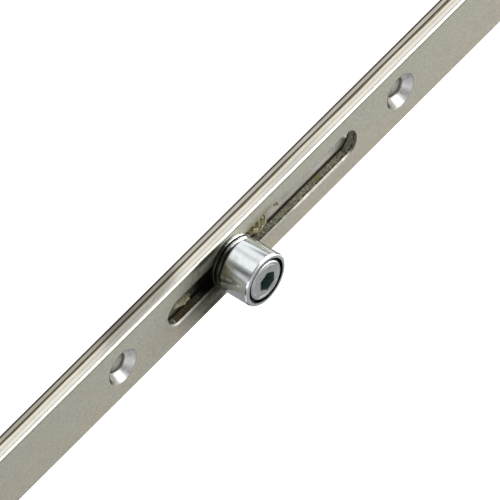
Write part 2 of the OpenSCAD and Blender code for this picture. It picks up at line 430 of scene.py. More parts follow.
def faceTone(at, s):
    # Warmer towards the +Y edge, with cloudy patches, grain, scratches and specks over it
    lean = linear(at.y, -part.halfWidth, part.halfWidth, 0.0, 0.7)
    warm = calc("ADD", lean, (at.cloud - 0.4) * 0.5, clamp=True)
    aslant = scratches(mapped(at.place, turn=(0, 0, s["slant"])), scale=0.8, cut=0.70)
    tone = mixColour(warm, s["coolTone"], s["warmTone"])
    tone = paint(tone, s["lines"], 1.0 - at.lines)
    tone = paint(tone, s["satin"], at.satin)
    tone = paint(tone, s["scratches"], at.lengthwise)
    tone = paint(tone, s["slantScratches"], aslant)
    tone = paint(tone, s["specks"], at.dots)
    return paint(tone, s["pits"], at.pits)


def paintSides(tone, at, s):
    # The burnished band along each long side, dark at the back edge where painted shade stands for the gap
    # between plate and rail
    upSide = linear(at.z, part.backZ, part.faceZ)
    sideTone = ramp(upSide + (at.streaks - 0.5) * 0.10, s["sideStopsWithGapShade"])
    sideTone = paint(sideTone, s["sideFilm"], at.film)
    onSide = rising(at.sideways, part.halfWidth - 0.36, part.halfWidth - 0.10)
    tone = mixColour(onSide, tone, sideTone)

    # A thin darker line where the rounded edge runs out into the face
    away = abs(at.y + (part.halfWidth - s["rollWidth"] + 0.05))
    edgeLine = falling(away, 0.08, 0.30) * rising(at.z, part.faceZ - 0.15, part.faceZ - 0.05)
    return paint(tone, s["edgeLine"], edgeLine)


# Painted shadow of the roller and oil on the face beside the slot

shadowAndOilLook = {
    # tone and stretch paint the roller's shadow onto the face over a stretch along X
    "tone": (0.13, 0.125, 0.095),
    "stretch": (9.0, 14.0, 16.0, 28.0),
    "shadowTone": (0.035, 0.035, 0.025),
    "shadowStretch": (9.0, 14.0, 16.5, 21.0),
    "shadowFromY": (5.4, 6.8),
    "oilX": 0.6,
    "oilReach": (2.0, 6.5),               # along X from there
    "oilWidth": (0.2, 2.5),               # out from the slot
    "oilTones": ((0.15, 0.14, 0.06), (0.62, 0.58, 0.34)),
}


def paintShadowAndOil(tone, at, s):
    # Painted shadow of the roller on the face beside the slot where the cam has its place, uneven with the
    # film patches, darkest towards the -Y side
    onFace = falling(at.sideways, part.halfWidth - 0.75, part.halfWidth - 0.35)
    shadow = rising(at.sideways, *s["shadowFromY"]) * between(at.x, *s["shadowStretch"])
    rollerShadow = between(at.x, *s["stretch"]) * (0.62 + at.film * 0.25)
    rollerShadow = calc("ADD", rollerShadow, shadow * 0.30, clamp=True) * onFace
    tone = mixColour(rollerShadow, tone, s["tone"])
    shadow = shadow * onFace * mapRange(at.y, -2.0, 2.0, 0.8, 0.1)
    tone = mixColour(shadow, tone, s["shadowTone"])

    # Oil pressed out beside the roller, thickest next to the rim
    oily = falling(at.sideways - slotLook["radius"], *s["oilWidth"])
    oily = oily * falling(abs(at.x - s["oilX"]), *s["oilReach"])
    oily = oily * mapRange(at.y, -2.0, 1.0, 1.0, 0.25) * (0.60 + at.film * 0.4)
    return mixColour(oily, tone, mixColour(at.satin * at.satin, *s["oilTones"]))


# The two countersinks

countersinkLook = {
    "radius": 3.9,
    "tone": (0.88, 0.875, 0.87),
    "dullTone": (0.56, 0.55, 0.54),
    # painted shade on the far half of each cone
    "farTone": (0.20, 0.19, 0.17),        # the half towards +X, from the screw's axis
    "farX": (0.1, 1.9),
    "darkEdgeTone": (0.13, 0.12, 0.10),
    # painted black shade on a stretch of the edge
    "arcTone": (0.012, 0.011, 0.009),     # the black stretch of the edge, from the screw's axis
    "arcX": (1.6, 3.0),
    "arcY": (0.8, 2.6),
}


def paintCountersinks(tone, at, s):
    # Burnished cones with painted shade on the half towards +X, a darker line round the top edge, painted
    # shade at the hole's edge, and painted black shade on one stretch of the edge
    pastScrew = at.x - calc("SIGN", at.x) * part.screwX
    fromScrew = lengthOf(pastScrew, at.y)
    rim = s["radius"]
    at.inCone = falling(fromScrew, rim - 0.10, rim)
    coneTone = mixColour(at.film, s["tone"], s["dullTone"])
    coneTone = mixColour(rising(pastScrew, *s["farX"]), coneTone, s["farTone"])
    tone = mixColour(at.inCone, tone, coneTone)
    rimDarkLine = falling(abs(fromScrew - rim), 0.04, 0.20) * mapRange(at.y, -3.0, 2.5, 0.85, 0.15)
    rimDarkLine = rimDarkLine * mapRange(pastScrew, -2.0, 0.0, 0.25, 1.0)
    holeEdgeShade = falling(fromScrew, part.holeRadius + 0.05, part.holeRadius + 0.30)
    tone = mixColour(larger(rimDarkLine, holeEdgeShade * 0.8), tone, s["darkEdgeTone"])
    at.darkArc = between(fromScrew, rim - 0.75, rim - 0.25, rim + 0.02, rim + 0.15)
    at.darkArc = at.darkArc * rising(pastScrew, *s["arcX"]) * mapRange(at.y, *s["arcY"], 0.95, 0.0)
    return mixColour(at.darkArc, tone, s["arcTone"])


# The slot's walls and rim

slotLook = {
    "straightHalf": 24.75,
    "radius": 3.0,
    "wallTone": (0.430, 0.425, 0.330),
    "filmTone": (0.62, 0.59, 0.46),
    "shade": (0.6, (0.17, 0.165, 0.13)),
    "darkGrit": (0.8, (0.07, 0.07, 0.05)),
    "brightGrit": (0.8, (0.85, 0.84, 0.74)),
    # a painted black shadow of the roller on the slot wall
    "camShadow": (0.95, (0.02, 0.019, 0.012)),
    "camShadowStretch": (9.0, 11.0, 16.0, 20.0),
    "brownTones": ((0.33, 0.26, 0.14), (0.16, 0.11, 0.06)),
    "brownStretch": (18.5, 20.5, 24.5, 26.5),
    "stain": (0.6, (0.26, 0.25, 0.06)),
    "stainX": -17.2,
    "stainReach": (0.3, 1.5),
    "blackBand": (0.9, (0.03, 0.03, 0.02)),
    # a painted white highlight on the polished rim
    "polishedHighlightTone": (1.0, 1.0, 0.97),
    "polishedAmount": 0.22,
    "polishedX": (15.5, 17.5),            # where it starts towards +X; at -X it ends where the rubbing starts
    "rubbedTone": (0.34, 0.34, 0.30),
    "rubbedStretch": (-11.0, -8.0, 12.0, 15.0),
    "start": (0.75, (0.05, 0.045, 0.035)),
    "startX": (-26.8, -25.5),
}


def slotWallTone(at, s):
    # Mottled old grease, a painted black shadow of the roller where the cam stands, brown at the +X end,
    # black in broken patches along the top, and black at the foot as painted shade of the gap
    tone = paint(mixColour(at.film, s["wallTone"], s["filmTone"]), s["shade"], at.satin)
    grit = noise(mapped(at.place, (0.7, 2.0, 4.0), size=(0.8, 1, 1)), scale=2.6, detail=4.0, rough=0.7)
    grit = linear(grit, 0.36, 0.64)
    tone = paint(tone, s["darkGrit"], falling(grit, 0.0, 0.45))
    tone = paint(tone, s["brightGrit"], rising(grit, 0.62, 1.0))
    tone = paint(tone, s["camShadow"], between(at.x, *s["camShadowStretch"]))
    brown = mixColour(at.satin, *s["brownTones"])
    tone = mixColour(between(at.x, *s["brownStretch"]) * 0.75, tone, brown)
    tone = paint(tone, s["stain"], falling(abs(at.x - s["stainX"]), *s["stainReach"]))
    # painted shade in the gap at the foot of the wall
    foot = falling(at.z, part.backZ + 0.22, part.backZ + 0.50)
    blackBand = patches(mapped(at.place, size=(1.0, 1, 0.2)), scale=1.6, low=0.42, high=0.56)
    blackBand = blackBand * rising(at.z, part.faceZ - 0.75, part.faceZ - 0.52)
    return paint(tone, s["blackBand"], larger(foot, blackBand))


def paintSlot(tone, at, s):
    # The rim towards +Y is polished at both ends, where it also carries a painted white highlight, and rubbed
    # dull between them, and dark round its -X end
    slotWay = useGroup("outlineDistance", at.place, StraightHalf=s["straightHalf"], Radius=s["radius"])[0]
    rim = falling(slotWay, 0.30, 0.38) * rising(at.y, -0.5, 0.5)
    worn = patches(mapped(at.place, (5.1, 0.3, 0.0), size=(0.5, 1, 1)), scale=1.3, low=0.48, high=0.62)
    rubbedFrom = s["rubbedStretch"][:2]
    at.polished = falling(at.x, *rubbedFrom) * (0.10 + worn * s["polishedAmount"])
    at.polished = larger(at.polished, rising(at.x, *s["polishedX"]) * s["polishedAmount"]) * rim
    tone = mixColour(at.polished, tone, s["polishedHighlightTone"])
    atStart = falling(slotWay, 0.34, 0.42) * falling(at.x, *s["startX"])
    tone = paint(tone, s["start"], atStart)
    rubbed = rim * between(at.x, *s["rubbedStretch"]) * mapRange(worn, 0.0, 1.0, 0.75, 0.15)
    tone = mixColour(rubbed, tone, s["rubbedTone"])
    at.onWall = falling(slotWay, 0.05, 0.12) * falling(at.z, part.faceZ - 0.42, part.faceZ - 0.28)
    return mixColour(at.onWall, tone, slotWallTone(at, s))


def makeFaceplateSteel(s):
    material, shader, place = startMaterial("faceplateSteel", Metallic=1.0, Anisotropic=0.4)
    send(shader, Tangent=output(place.tree, "ShaderNodeCombineXYZ", None, {1: 1.0}))

    # Places and masks that the steps share, to which they add inCone, darkArc, polished and onWall
    at = SimpleNamespace(place=place)
    at.x, at.y, at.z = split(place)
    at.sideways = abs(at.y)
    at.lines, at.streaks = useGroup("rolledGrain", place, Fineness=5.0)
    at.cloud = patches(place, scale=0.13, low=0.35, high=0.65)
    at.film = patches(place, scale=0.9, low=0.45, high=0.75)
    at.dots = specks(place, scale=0.55, share=0.10, radius=0.11)
    at.pits = specks(mapped(place, (3.3, 1.7, 0.4)), scale=1.9, share=0.16, radius=0.16)
    at.lengthwise = scratches(place, scale=1.3, cut=0.66)
    at.satin = linear(noise(mapped(place, size=(0.8, 1, 1)), scale=2.1, rough=0.75), 0.30, 0.70)
    rollEnd = s["rollWidth"] - part.halfWidth
    at.onRoll = falling(at.y, rollEnd - 0.2, rollEnd)

    tone = paintSides(faceTone(at, s), at, s)
    tone = paintShadowAndOil(tone, at, shadowAndOilLook)
    tone = paintCountersinks(tone, at, countersinkLook)
    tone = paintSlot(tone, at, slotLook)
    rough = linear(at.lines, 0.0, 1.0, 0.72, 0.62)
    for name, amount in s["roughness"].items():
        rough = rough + getattr(at, name) * amount

    # The front edge at -Y is rolled off more softly than its radius alone
    rolled = larger(rising(at.y, -part.halfWidth, rollEnd), calc("LESS_THAN", at.z, s["rollLowZ"]))
    rolledOff = bump(rolled, strength=1.0, distance=s["rollDepth"])
    height = at.lines + at.lengthwise * 1.2 - (at.dots + at.pits) * 1.5 + at.film * at.onWall * 4.0
    normal = bump(height, strength=0.35, distance=0.004, over=rolledOff)
    send(shader, Base_Color=tone, Roughness=rough, Normal=normal)
    return material


# Drive rail: duller strip, darker towards the ends as painted reflection, with a film of grease where the cam
# runs

railLook = {
    "dullTone": (0.42, 0.40, 0.33),
    "cleanTone": (0.66, 0.63, 0.56),
    "reflectionReach": 90.0,
    "reflectionLevels": ((0.0, 0.70), (0.30, 0.80), (0.50, 1.0), (0.62, 0.70), (0.72, 0.32), (1.0, 0.20)),
    "lines": (0.25, (0.24, 0.22, 0.17)),
    "pits": (0.4, (0.2, 0.18, 0.13)),
    "edgeShade": (0.97, (0.035, 0.028, 0.018)),
    "lowEdgeShade": (1.66, 1.90),              # Z where the painted shade along the lower edge ends
    "highEdgeShade": (2.42, 2.60),
    "slotWidth": (2.6, 3.4),
    "slotReach": (39.0, 42.0),
    "topZ": (2.70, 2.85),
    "wipedTone": (0.98, 0.95, 0.91),
    "wipedX": (-5.0, 0.0),
    "grease": (0.7, (0.30, 0.28, 0.18)),
    "greaseReach": (4.0, 26.0),           # along X from the cam's pivot
    # a painted black shadow of the roller beside the stud
    "studShadow": (0.95, (0.035, 0.033, 0.02)),
}


def makeRailSteel(s):
    material, shader, place = startMaterial("railSteel", Metallic=1.0, Coat_Roughness=0.25)
    x, y, z = split(place)
    lines = useGroup("rolledGrain", place, Fineness=4.0)[0]
    cloud = patches(mapped(place, size=(0.35, 1, 1)), scale=0.25, low=0.35, high=0.68)
    film = patches(place, scale=0.7, low=0.40, high=0.62)
    pits = specks(place, scale=1.4, share=0.2, radius=0.18)
    # painted reflection: a ramp along X that darkens the rail towards the ends, most towards +X, uneven with
    # the cloud
    reflectionRamp = greyRamp(linear(x, -s["reflectionReach"], s["reflectionReach"]), s["reflectionLevels"])
    amount = calc("MULTIPLY", reflectionRamp, 0.65 + cloud * 0.45, clamp=True)
    tone = mixColour(amount, s["dullTone"], s["cleanTone"])
    tone = paint(tone, s["lines"], 1.0 - lines)
    tone = paint(tone, s["pits"], pits)

    # Painted shade along both edges of the long sides: under the rail and in the gap below the faceplate
    onSide = rising(abs(y), part.railHalfWidth - 0.28, part.railHalfWidth - 0.18)
    tone = paint(tone, s["edgeShade"], larger(falling(z, *s["lowEdgeShade"]), rising(z, *s["highEdgeShade"])) * onSide)

    # Wiped bright where it shows in the slot towards -X, greasy near the cam, and a painted black shadow of
    # the roller beside the stud
    inSlot = falling(abs(y), *s["slotWidth"]) * rising(z, *s["topZ"]) * falling(abs(x), *s["slotReach"])
    wiped = inSlot * falling(x, *s["wipedX"])
    tone = mixColour(wiped * (0.55 + cloud * 0.4), tone, s["wipedTone"])
    nearCam = mapRange(abs(x - part.pivotX), *s["greaseReach"], 1.0, 0.25) * (1.0 - wiped * 0.85)
    greasy = calc("MULTIPLY", nearCam * inSlot, 0.35 + film * 0.65, clamp=True)
    tone = paint(tone, s["grease"], greasy)
    tone = paint(tone, s["studShadow"], inSlot * between(x, *slotLook["camShadowStretch"]))
    rough = linear(lines, 0.0, 1.0, 0.46, 0.34) + inSlot * 0.18
    normal = bump(lines + film * 3.0 - pits, strength=0.4, distance=0.006)
    send(shader, Base_Color=tone, Roughness=rough, Coat_Weight=greasy * 0.35, Normal=normal)
    return material


# Turned steel of the bushes, keeper discs and the washers behind the rail

turnedSteelLook = {
    "tone": (0.60, 0.60, 0.57),
    "shade": (0.35, (0.40, 0.39, 0.35)),
    "dull": (0.35, (0.33, 0.31, 0.24)),
    "screwFrom": 30.0,                    # pieces farther out than this are turned about a screw hole
}


def makeTurnedSteel(s):
    material, shader, place = startMaterial("turnedSteel", Metallic=1.0)
    # The same lathe marks round each of the three axes: the two screw holes and the cam's pivot
    x, y, z = split(place)
    atScrew = calc("GREATER_THAN", abs(x), s["screwFrom"])
    axis = calc("SIGN", x) * atScrew * part.screwX + (1.0 - atScrew) * part.pivotX
    rings = useGroup("turnedMarks", joined(x - axis, y, z), Fineness=6.0)[0]
    dull = patches(place, scale=0.6, low=0.40, high=0.70)
    tone = paint(s["tone"], s["shade"], 1.0 - rings)
    tone = paint(tone, s["dull"], dull)
    rough = linear(rings + dull, 0.0, 2.0, 0.24, 0.44)
    send(shader, Base_Color=tone, Roughness=rough, Normal=bump(rings, strength=0.45, distance=0.01))
    return material


# Blued spring washer behind the rail

springLook = {
    "stops": ((0.0, (0.24, 0.26, 0.34)), (0.6, (0.36, 0.37, 0.42)), (1.0, (0.42, 0.38, 0.34))),
}


def makeSpringSteel(s):
    material, shader, place = startMaterial("springSteel", Metallic=1.0)
    cloud = patches(place, scale=0.8, low=0.3, high=0.7)
    rough = mapRange(cloud, 0.0, 1.0, 0.28, 0.42)
    normal = bump(cloud - specks(place, scale=3.0, share=0.25, radius=0.2), strength=0.3, distance=0.005)
    send(shader, Base_Color=ramp(cloud, s["stops"]), Roughness=rough, Normal=normal)
    return material


# Zinc-plated turned pieces: the stud with its head and hex socket, the base disc and the thrust collar

# painted shade for the gap between the head and the sleeve's recess
blackGapShade = (0.95, (0.015, 0.015, 0.012))
zincLook = {
    "tone": (0.70, 0.73, 0.72),
    "shade": (0.45, (0.50, 0.53, 0.52)),
    "frost": (0.30, (0.82, 0.85, 0.85)),
    "pits": (0.45, (0.25, 0.26, 0.22)),
    "foot": (0.96, (0.035, 0.035, 0.02)),
    "footZ": (5.3, 5.45, 7.15, 7.35),
    "footX": (-0.5, 3.0),                 # from the cam's pivot
    "socket": (0.92, (0.30, 0.43, 0.42)),
    "socketRadius": (2.32, 2.42),
    "socketBottomZ": 8.85,
    "headFace": (0.55, (0.93, 0.95, 0.94)),
    "headZ": 12.85,
    "headRadius": 4.375,
}


def makeZincPlate(s):
    material, shader, place = startMaterial("zincPlate", Metallic=1.0)
    centred = mapped(place, (-part.pivotX, 0.0, 0.0))
    x, y, z = split(centred)
    rings, radius = useGroup("turnedMarks", centred, Fineness=4.0)
    frost = patches(place, scale=1.6, low=0.35, high=0.70)
    pits = specks(place, scale=2.4, share=0.16, radius=0.17)
    tone = paint(s["tone"], s["shade"], 1.0 - rings)
    tone = paint(tone, s["frost"], frost)
    tone = paint(tone, s["pits"], pits)

    # Grease and painted shade on the base disc and the collar, heaviest towards +X
    greasy = between(z, *s["footZ"]) * rising(x + frost * 1.5, *s["footX"])
    tone = paint(tone, s["foot"], greasy)

    # Dark old grease in the hex socket, and a brighter face round it
    inSocket = falling(radius, *s["socketRadius"]) * falling(z, part.topZ - 0.12, part.topZ - 0.02)
    inSocket = inSocket * calc("GREATER_THAN", z, s["socketBottomZ"])
    onHead = rising(z, part.topZ - 0.35, part.topZ - 0.10)
    tone = paint(tone, s["socket"], inSocket)
    tone = paint(tone, s["headFace"], onHead * (1.0 - inSocket))

    # Painted black shade down the side of the head, in the gap between head and sleeve
    fromAxis = lengthOf(x - (part.rollerX - part.pivotX), y - part.rollerY)
    downHead = rising(fromAxis, s["headRadius"] - 0.24, s["headRadius"] - 0.17)
    downHead = downHead * between(z, s["headZ"] - 0.1, s["headZ"], part.topZ - 0.19, part.topZ - 0.11)
    tone = paint(tone, blackGapShade, downHead)
    rough = mapRange(frost, 0.0, 1.0, 0.20, 0.32) + onHead * 0.30 + larger(inSocket, greasy) * 0.15
    send(shader, Base_Color=tone, Roughness=rough, Normal=bump(rings - pits, strength=0.4, distance=0.008))
    return material


# Polished roller sleeve: bright bluish zinc with fine marks round it, small stains, a smear of grease and a
# painted dark reflection down one side

sleeveLook = {
    "tone": (0.89, 0.93, 0.95),
    "shade": (0.30, (0.72, 0.78, 0.81)),
    "frost": (0.20, (0.62, 0.67, 0.69)),
    "stains": (0.65, (0.34, 0.31, 0.20)),
    "smearTone": (0.26, 0.27, 0.13),
    "smearAt": (13.6, -3.6, 8.4),
    "smearReach": (1.8, 5.2),
    # film paints a dark reflection down one side
    "film": (0.65, (0.17, 0.19, 0.17)),
    "darkReflectionTurn": (-2.62, -2.45, -2.02, -1.90),    # radians round the axis, from +X
    "foot": (0.92, (0.05, 0.05, 0.028)),
    "footZ": (7.75, 8.15),
    "footX": (-1.0, 3.0),                 # from the roller's axis
    "recessRadius": 4.85,
    "recessDepth": 2.4,
}


def makePolishedZinc(s):
    material, shader, place = startMaterial("polishedZinc", Metallic=1.0)
    centred = mapped(place, (-part.rollerX, -part.rollerY, 0.0))
    x, y, z = split(centred)
    rings, radius = useGroup("turnedMarks", centred, Fineness=5.0)
    frost = patches(place, scale=0.9, low=0.40, high=0.70)
    pits = specks(place, scale=1.5, share=0.18, radius=0.13)
    tone = paint(s["tone"], s["shade"], 1.0 - rings)
    tone = paint(tone, s["frost"], frost)
    tone = paint(tone, s["stains"], pits)

    # Olive grease that has crept up the lower part of the sleeve
    reach = output(place.tree, "ShaderNodeVectorMath", {"operation": "DISTANCE"},
                   {0: place, 1: s["smearAt"]}, "Value")
    smear = falling(reach + noise(place, scale=1.1) * 2.4, *s["smearReach"]) * 0.85
    tone = mixColour(smear, tone, s["smearTone"])

    # A painted dark reflection down the side towards -X and -Y, by the angle round the axis
    onEnd = rising(z, part.topZ - 0.30, part.topZ - 0.06)
    angle = calc("ARCTAN2", y, x)
    darkStart, darkFull, darkFade, darkEnd = s["darkReflectionTurn"]
    film = rising(angle + frost * 0.10, darkStart, darkFull) * falling(angle, darkFade, darkEnd)
    tone = paint(tone, s["film"], film * (1.0 - onEnd))
    # Grease and painted shade at the foot of the sleeve towards +X
    tone = paint(tone, s["foot"], falling(z, *s["footZ"]) * rising(x, *s["footX"]))

    # Painted black shade round the inside of the recess, in the gap round the head
    recessFloor = part.topZ - s["recessDepth"]
    inRecess = falling(radius, s["recessRadius"] + 0.03, s["recessRadius"] + 0.10)
    tone = paint(tone, blackGapShade, inRecess * rising(z, recessFloor, recessFloor + 0.2))
    rough = linear(frost + rings, 0.0, 2.0, 0.07, 0.17) + onEnd * 0.45 + smear * 0.20
    waves = noise(mapped(place, size=(1, 1, 0.35)), scale=0.55, detail=2.0) * 9.0
    normal = bump(waves + (rings - pits), strength=0.30, distance=0.004)
    send(shader, Base_Color=tone, Roughness=rough, Normal=normal)
    return material


# Moulded black plastic of the liner, wear ring and glide washers

plasticLook = {
    "stops": ((0.3, (0.010, 0.010, 0.011)), (0.7, (0.022, 0.022, 0.022))),
    "dust": (0.25, (0.06, 0.055, 0.04)),
}


def makeBlackPlastic(s):
    material, shader, place = startMaterial("blackPlastic", Specular_IOR_Level=0.45)
    grain = noise(place, scale=9.0, rough=0.6)
    tone = paint(ramp(grain, s["stops"]), s["dust"], patches(place, scale=1.5, low=0.5, high=0.8))
    rough = mapRange(grain, 0.3, 0.7, 0.38, 0.55)
    send(shader, Base_Color=tone, Roughness=rough, Normal=bump(grain, strength=0.3, distance=0.01))
    return material


finishes = {
    "faceplate_steel": makeFaceplateSteel(faceplateLook),
    "rail_steel": makeRailSteel(railLook),
    "turned_steel": makeTurnedSteel(turnedSteelLook),
    "spring_steel": makeSpringSteel(springLook),
    "zinc_plate": makeZincPlate(zincLook),
    "polished_zinc": makePolishedZinc(sleeveLook),
    "black_plastic": makeBlackPlastic(plasticLook),
}
for row in record["subparts"]:
    for place in nodes[row["node"]].material_slots:
        place.material = finishes[row["material_slot"]]
print("finishes given to", len(record["subparts"]), "nodes")


# Grease and burrs: small closed skins along a path

def smearSkin(name, s, outward, steps=(80, 36)):
    # At t along the path and angle a round it:
    # centre(t) + side * w(t) * cos a * swell + outward * h(t) * max(sin a, -0.08) * swell,
    # where swell is 1 plus a few sines of t and a,
    # and w and h fall to nothing at both ends like a half circle
    count, around = steps
    t = (np.arange(count) + 0.5) / count
    a = 2 * np.pi * np.arange(around) / around
    path = np.asarray(s["path"], dtype=float)
    outward = np.asarray(outward, dtype=float)
    kernel = np.ones(9) / 9

    def alongPath(values):
        return np.interp(t, np.linspace(0, 1, len(values)), values)

    centre = [np.pad(alongPath(line), 4, mode="edge") for line in path.T]
    centre = np.stack([np.convolve(line, kernel, mode="valid") for line in centre], axis=1)
    taper = np.sqrt(1 - (2 * t - 1) ** 2) ** 0.8
    along = np.gradient(centre, axis=0)
    along -= np.outer(along @ outward, outward)
    along /= np.linalg.norm(along, axis=1)[:, None]
    swell = np.ones((count, around))
    for size, alongTurns, roundTurns, start in s["lumps"]:
        swell += size * np.sin(2 * np.pi * alongTurns * t[:, None] + roundTurns * a[None, :] + start)
    across = np.outer(alongPath(s["widths"]) * taper, np.cos(a)) * swell
    rise = np.outer(alongPath(s["heights"]) * taper, np.maximum(np.sin(a), -0.08)) * swell
    side = np.cross(outward, along)[:, None, :]
    skin = centre[:, None, :] + across[..., None] * side + rise[..., None] * outward
    points = np.concatenate([skin.reshape(-1, 3), path[:1], path[-1:]]) * mm

    i, j = (grid.ravel() for grid in np.meshgrid(np.arange(count - 1), np.arange(around), indexing="ij"))
    nextJ = (j + 1) % around
    low, high = i * around, (i + 1) * around
    quads = np.stack([low + j, low + nextJ, high + nextJ, high + j], axis=1)
    k = np.arange(around)
    nextK = (k + 1) % around
    lastRow = (count - 1) * around
    startPole, endPole = np.full(around, count * around), np.full(around, count * around + 1)
    caps = np.concatenate([
        np.stack([startPole, nextK, k], axis=1),
        np.stack([endPole, lastRow + k, lastRow + nextK], axis=1),
    ])
    mesh = bpy.data.meshes.new(name)
    mesh.from_pydata(points.tolist(), [], quads.tolist() + caps.tolist())
    mesh.polygons.foreach_set("use_smooth", np.ones(len(mesh.polygons), dtype=bool))
    mesh.update()
    return addObject(name, mesh)


greaseLook = {
    "darkTones": ((0.27, 0.24, 0.11), (0.62, 0.57, 0.33)),    # thin and thick
    "paleTones": ((0.52, 0.48, 0.28), (0.86, 0.82, 0.60)),
    "grit": (0.6, (0.10, 0.08, 0.03)),
}


def makeGrease(name, tones, grit):
    material, shader, place = startMaterial(
        name, Transmission_Weight=0.25, IOR=1.46, Coat_Weight=0.5, Coat_Roughness=0.08)
    cloud = noise(place, scale=1.2, detail=4.0, rough=0.6)
    tone = mixColour(rising(cloud, 0.35, 0.65), *tones)
    tone = paint(tone, grit, specks(place, scale=3.5, share=0.2, radius=0.2))
    rough = mapRange(cloud, 0.3, 0.7, 0.20, 0.42)
    send(shader, Base_Color=tone, Roughness=rough, Normal=bump(cloud, strength=0.4, distance=0.08))
    return material


darkGrease = makeGrease("oldGrease", greaseLook["darkTones"], greaseLook["grit"])
paleGrease = makeGrease("paleGrease", greaseLook["paleTones"], greaseLook["grit"])
straightUp = (0, 0, 1)

# Beside the cam: lumps are (size, waves along, waves round, start of the wave)
camGrease = {
    "ridge": {
        "path": (
            (-3.6, 1.9, 2.95), (-1.6, 1.5, 2.95), (0.4, 0.6, 2.95), (2.2, -0.9, 2.95), (4.0, -1.9, 2.95),
        ),
        "widths": (0.4, 0.7, 0.9, 0.9, 0.7),
        "heights": (0.5, 1.3, 1.5, 1.8, 1.3),
        "lumps": ((0.20, 4, 2, 0.4), (0.16, 7, 3, 2.1), (0.13, 11, 5, 1.0), (0.09, 17, 7, 0.2)),
    },
    "flank": {
        "path": ((-3.2, -0.7, 2.95), (-1.4, -1.1, 2.95), (0.6, -1.6, 2.95), (3.4, -1.9, 2.95)),
        "widths": (0.3, 0.6, 0.8, 0.6),
        "heights": (0.9, 1.7, 2.2, 2.0),
        "lumps": ((0.18, 5, 3, 1.4), (0.14, 9, 4, 0.1), (0.10, 14, 5, 2.0)),
    },
    "clot": {
        "path": ((-6.3, -0.8, 2.95), (-5.6, -0.9, 2.95), (-4.7, -1.2, 2.95)),
        "widths": (0.3, 0.4, 0.3),
        "heights": (0.9, 1.5, 1.2),
        "lumps": ((0.2, 2, 2, 0.3), (0.12, 4, 3, 1.2)),
    },
}
for name, settings in camGrease.items():
    piece = smearSkin("cam_grease_" + name, settings, straightUp)
    piece.data.materials.append(darkGrease)
    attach(piece, "rail")

# At the slot's +X end, where the sliding cam presses it against the wall
endGrease = {
    "path": ((19.3, 1.8, 2.95), (20.9, 1.55, 2.95), (22.5, 1.45, 2.95), (24.2, 1.4, 2.95)),
    "widths": (0.30, 0.55, 0.55, 0.30),
    "heights": (0.7, 1.1, 1.0, 0.5),
    "lumps": ((0.14, 3, 2, 0.9), (0.12, 7, 3, 0.3), (0.08, 13, 5, 2.2)),
}
piece = smearSkin("slot_end_grease", endGrease, straightUp)
piece.data.materials.append(paleGrease)
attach(piece, "strip")
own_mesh(piece)
print("grease laid")


# Burrs on the slot's rim, and a curl of swarf at its +X end

burrSettings = {
    "tones": ((0.95, 0.91, 0.98), (0.62, 0.59, 0.62)),
    "places": (-25.9, -24.7, -21.8, -19.6, -17.4, -16.2, -14.8, -12.9, -9.8),
    "lengths": (0.55, 0.30, 0.50, 0.35, 0.45, 0.25, 0.50, 0.30, 0.35),
    "rim": (-2.80, 5.10),                 # Y and Z of their middles, so that they hang over the slot
    "widths": (0.26, 0.32, 0.20),
    "heights": (0.08, 0.17, 0.09),
    "outward": (0, -0.2, 0.98),
    "curlMiddle": (25.85, 2.68, 4.35),
    "curlRadius": 0.36,
    "curlAlong": (0.91, -0.41, 0.0),
    "curlOutward": (-0.41, -0.91, 0.0),
    "curlWidths": (0.06, 0.09, 0.05),
    "curlHeights": (0.08, 0.14, 0.06),
}


def makeBurrSteel(s):
    material, shader, place = startMaterial("burrSteel", Metallic=0.0)
    uneven = noise(place, scale=5.0)
    tone = mixColour(rising(uneven, 0.4, 0.6), *s["tones"])
    rough = mapRange(uneven, 0.3, 0.7, 0.30, 0.50)
    send(shader, Base_Color=tone, Roughness=rough, Normal=bump(uneven, strength=0.4, distance=0.02))
    return material


def makeBurrs(s):
    # Each is a short skin along the rim, leaning by a tenth of a sine of its number
    made = []
    y, z = s["rim"]
    for number, (x, length) in enumerate(zip(s["places"], s["lengths"])):
        lean = 0.10 * math.sin(2.7 * number)
        burr = {
            "path": ((x - length / 2, y - lean / 2, z), (x, y, z), (x + length / 2, y + lean / 2, z)),
            "widths": s["widths"],
            "heights": s["heights"],
            "lumps": ((0.2, 2, 1, number), (0.15, 3, 2, 1.3 * number)),
        }
        made.append(smearSkin("slot_burr_%d" % (number + 1), burr, s["outward"], (18, 12)))
    return made


def makeCurl(s):
    # Middle + radius * (cos a along the end wall + sin a upwards), a from 40 to 310 degrees
    turn = np.radians(np.linspace(40, 310, 9))
    bow = np.outer(np.cos(turn), s["curlAlong"]) + np.outer(np.sin(turn), straightUp)
    curl = {
        "path": np.array(s["curlMiddle"]) + s["curlRadius"] * bow,
        "widths": s["curlWidths"],
        "heights": s["curlHeights"],
        "lumps": ((0.15, 3, 1, 0.4),),
    }
    return smearSkin("slot_curl", curl, s["curlOutward"], (60, 12))


burrSteel = makeBurrSteel(burrSettings)
for piece in (*makeBurrs(burrSettings), makeCurl(burrSettings)):
    piece.data.materials.append(burrSteel)
    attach(piece, "strip")
print("burrs set")


# Floor: white to the camera, bright and dim round the roller to mirrors, and it takes the object's shadow

